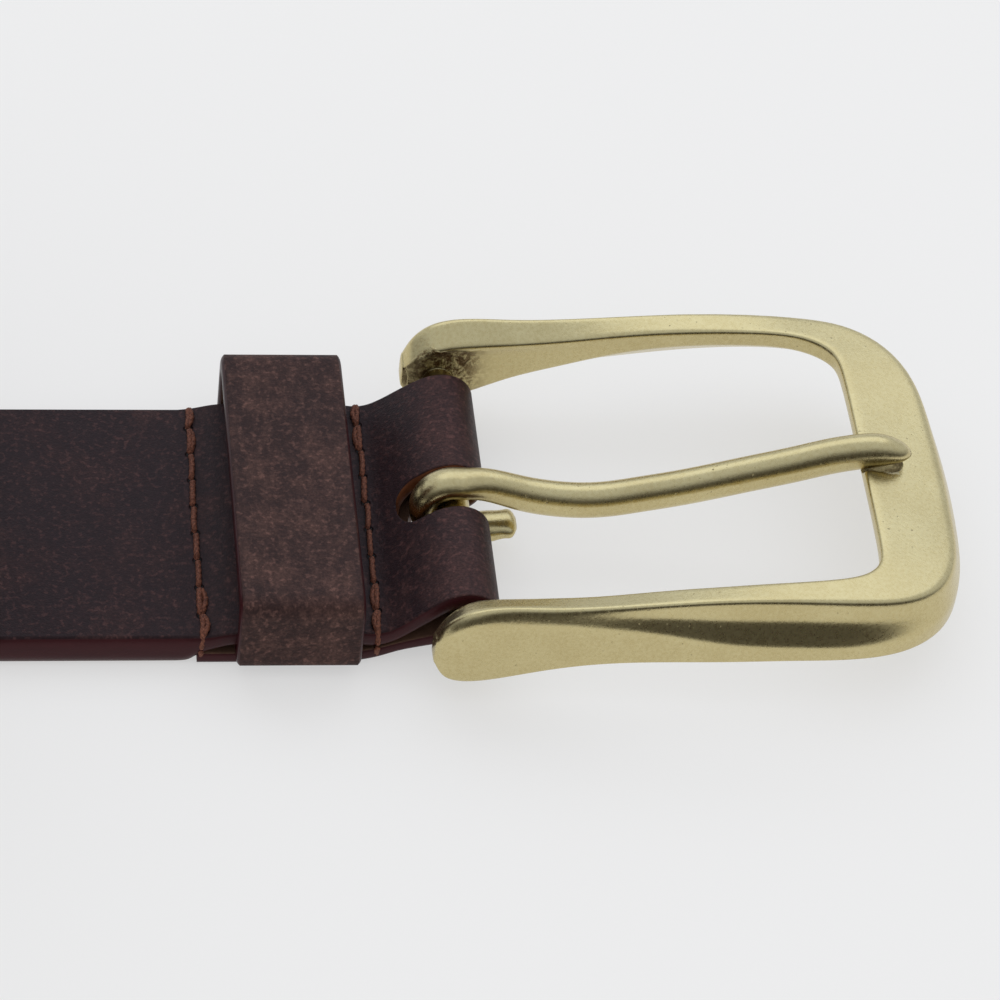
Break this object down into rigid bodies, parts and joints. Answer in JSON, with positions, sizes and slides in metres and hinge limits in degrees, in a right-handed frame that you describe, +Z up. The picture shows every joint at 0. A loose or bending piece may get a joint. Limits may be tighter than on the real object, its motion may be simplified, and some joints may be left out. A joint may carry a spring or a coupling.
{
  "type": "leather belt",
  "caption": "Dark-brown full-grain leather belt with its free end rolled up, a sliding leather keeper, stitched fold and a solid-brass heel-bar buckle with prong.",
  "frame": {"origin": "centre of the bounding box's footprint, on the floor", "axes": "+X along the strap, from the rolled end to the buckle's front rail; +Y across the strap; +Z up"},
  "size_m": [0.199, 0.0526, 0.0808],
  "materials": {
    "leather": "waxed pull-up, burnished burgundy edges",
    "brass": "satin tumbled",
    "thread": "waxed linen",
    "staple_wire": "drawn wire"
  },
  "bodies": {
    "strap_body": {"strap": "leather", "rear_top_thread": "thread", "rear_bobbin_thread": "thread", "front_top_thread": "thread", "front_bobbin_thread": "thread"},
    "keeper_body": {"keeper": "leather", "keeper_staple": "staple_wire"},
    "buckle_body": {"buckle_frame": "brass"},
    "prong_body": {"prong": "brass"}
  },
  "joints": [
    {"name": "keeper_slide", "type": "slide", "parent": "strap_body", "child": "keeper_body", "axis": [1, 0, 0], "range_m": [-0.0022, 0.0004]},
    {"name": "buckle_swing", "type": "hinge", "parent": "strap_body", "child": "buckle_body", "pos_m": [0.0419, 0, 0.0064], "axis": [0, -1, 0], "range_deg": [-60, 45]},
    {"name": "prong_swing", "type": "hinge", "parent": "buckle_body", "child": "prong_body", "pos_m": [0.0419, 0, 0.0064], "axis": [0, -1, 0], "range_deg": [0, 75]}
  ]
}
